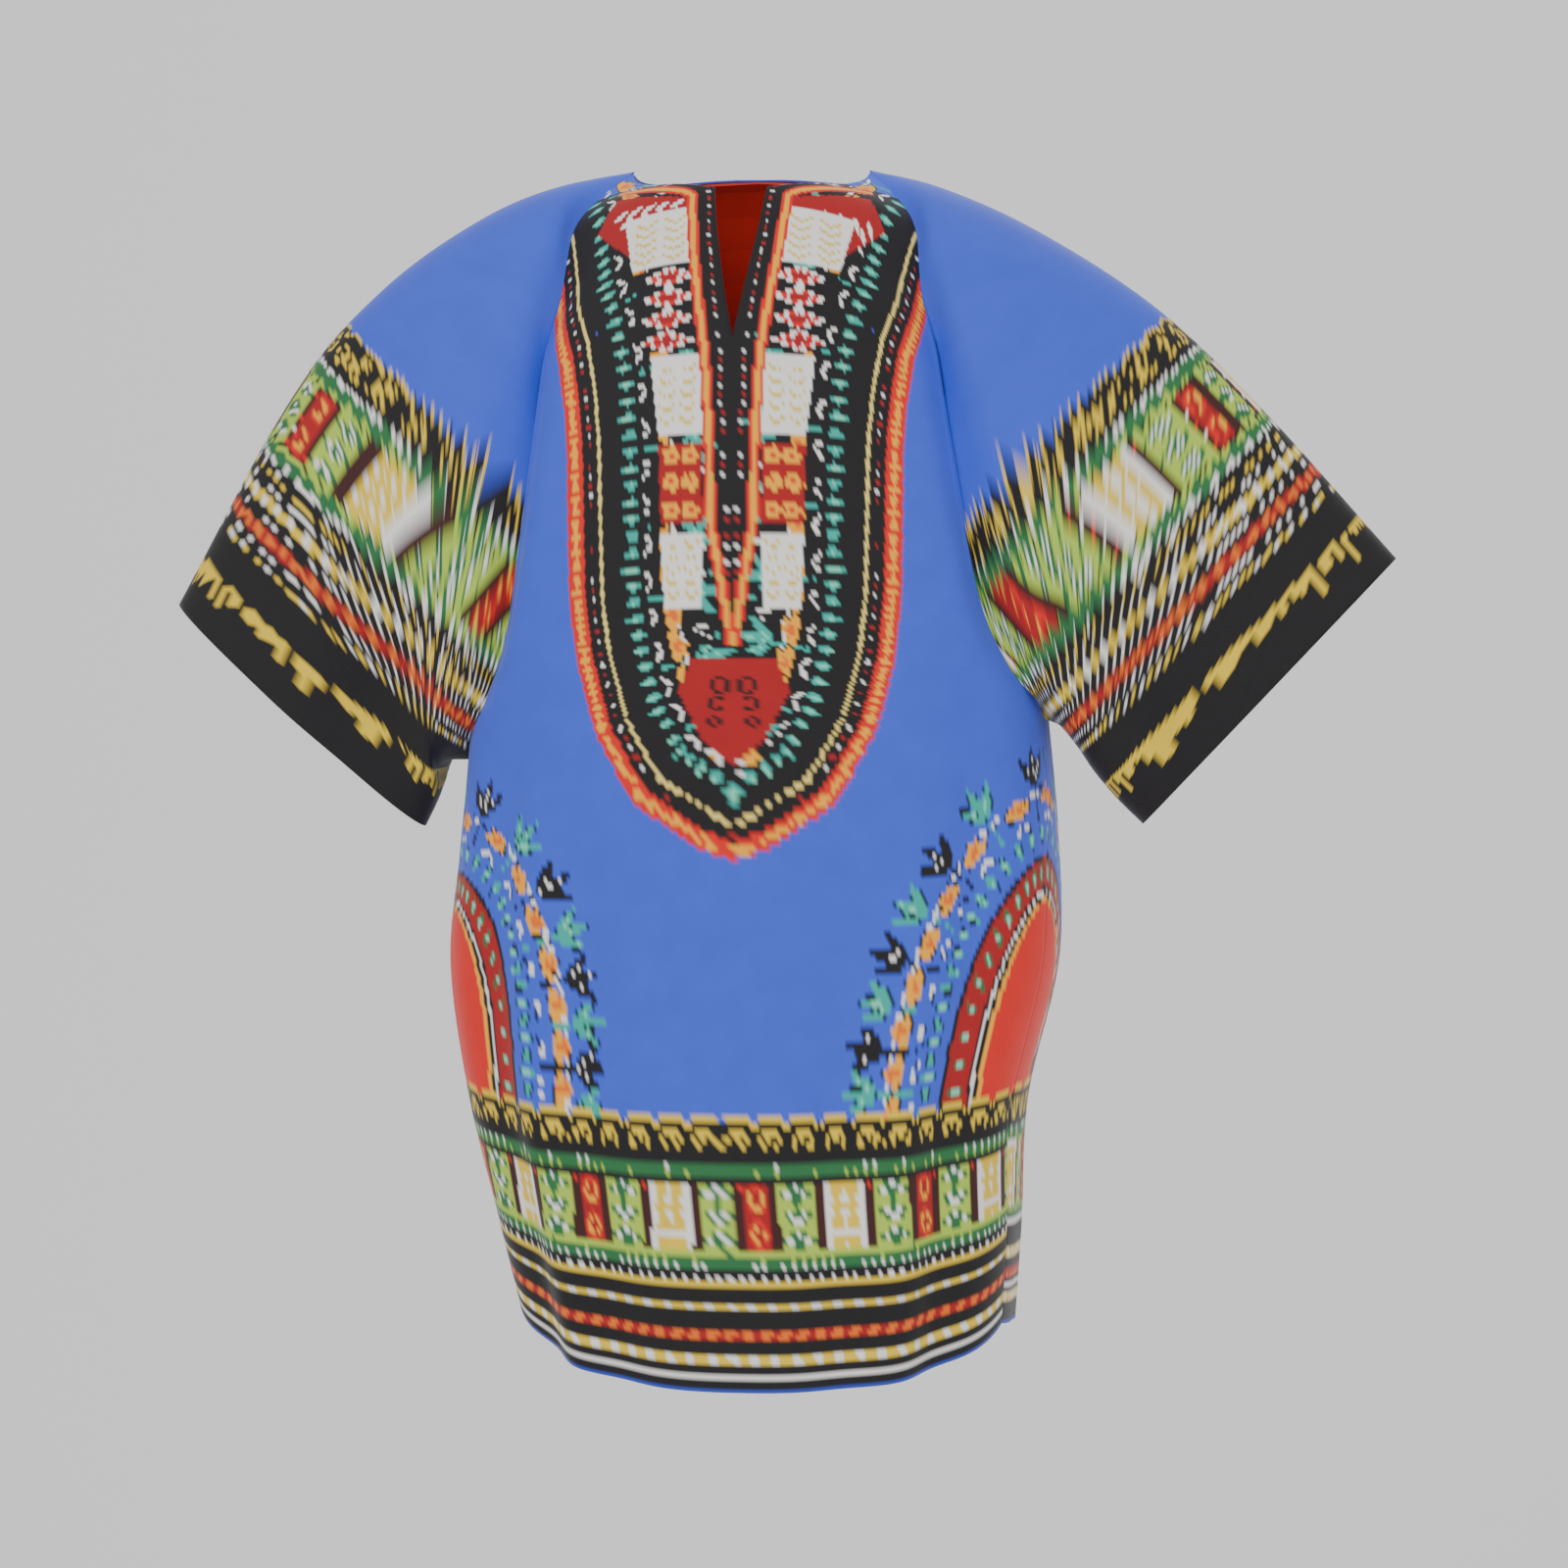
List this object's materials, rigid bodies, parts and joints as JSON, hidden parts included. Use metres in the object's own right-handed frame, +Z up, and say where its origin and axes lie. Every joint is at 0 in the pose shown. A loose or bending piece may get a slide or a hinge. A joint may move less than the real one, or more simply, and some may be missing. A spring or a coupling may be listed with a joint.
{
  "type": "dashiki shirt",
  "caption": "Short-sleeved collarless dashiki tunic in printed cotton, worn and hollow, with a slit neck, wide set-in sleeves and a curved hem",
  "frame": {"origin": "middle of the shoulder line at the neck, where the wearer's shoulders carry the shirt", "axes": "X across the body to the right sleeve, Y from front to back, Z up"},
  "size_m": [0.7649, 0.2649, 0.7436],
  "materials": {
    "printed_cotton": "plain-woven cotton, printed in blue, black, red, yellow, green and white, with a soft sheen",
    "red_cotton": "plain-woven red cotton"
  },
  "bodies": {
    "root": {"front": "printed_cotton", "back": "printed_cotton", "sleeve_right": "printed_cotton", "sleeve_left": "printed_cotton", "back_neck_facing": "red_cotton"}
  },
  "joints": []
}
